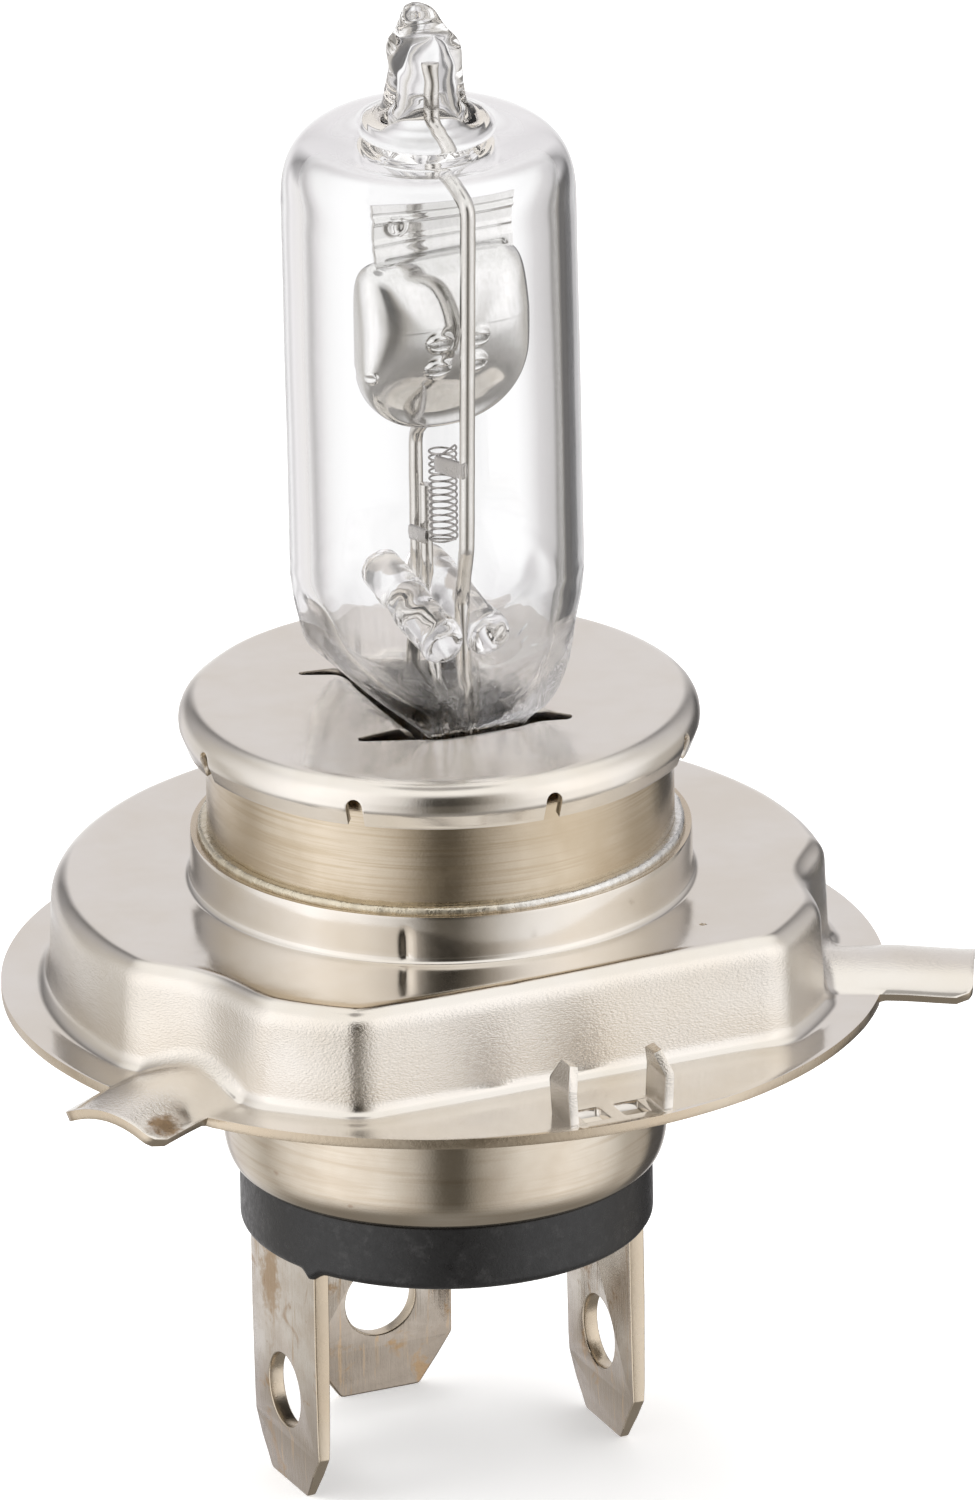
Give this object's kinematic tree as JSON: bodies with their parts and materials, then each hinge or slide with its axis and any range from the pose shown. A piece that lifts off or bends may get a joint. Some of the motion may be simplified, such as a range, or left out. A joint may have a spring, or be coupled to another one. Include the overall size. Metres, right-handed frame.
{
  "type": "headlight bulb",
  "caption": "Twin-filament halogen headlight bulb with a prefocus flange base, arched locating lugs and flat blade terminals",
  "frame": {"origin": "centre of the flange's front face, the bulb's reference plane", "axes": "+Z along the bulb's axis to the glass tip, +Y along the reference lug"},
  "size_m": [0.049, 0.0473, 0.0756],
  "materials": {
    "ring_plating": "bright nickel plating",
    "cap_plating": "satin nickel plating",
    "sleeve_steel": "brushed round the axis",
    "shell_steel": "drawn and brushed",
    "solder": "cast bead",
    "insulator_plastic": "satin moulded",
    "terminal_plating": "nickel plating with heat tint",
    "clear_quartz": "clear",
    "lead_molybdenum": "drawn wire",
    "foil_molybdenum": "etched",
    "outer_lead_nickel": "drawn wire",
    "shield_metal": "polished",
    "filament_tungsten": "drawn wire",
    "clip_metal": "folded strip"
  },
  "bodies": {
    "root": {"base_ring": "ring_plating", "burner_sleeve": "sleeve_steel", "solder_ring": "solder", "cap_disc": "cap_plating", "rear_shell": "shell_steel", "insulator": "insulator_plastic", "common_terminal": "terminal_plating", "dipped_beam_terminal": "terminal_plating", "main_beam_terminal": "terminal_plating", "glass_envelope": "clear_quartz", "left_bridge_rod": "clear_quartz", "right_bridge_rod": "clear_quartz", "common_lead_wire": "lead_molybdenum", "dipped_beam_lead_wire": "lead_molybdenum", "main_beam_lead_wire": "lead_molybdenum", "common_foil": "foil_molybdenum", "dipped_beam_foil": "foil_molybdenum", "main_beam_foil": "foil_molybdenum", "common_outer_lead": "outer_lead_nickel", "dipped_beam_outer_lead": "outer_lead_nickel", "main_beam_outer_lead": "outer_lead_nickel", "dipped_beam_shield": "shield_metal", "dipped_beam_filament": "filament_tungsten", "main_beam_filament": "filament_tungsten", "main_beam_upper_clip": "clip_metal", "main_beam_lower_clip": "clip_metal", "dipped_beam_upper_clip": "clip_metal", "dipped_beam_lower_clip": "clip_metal"}
  },
  "joints": []
}
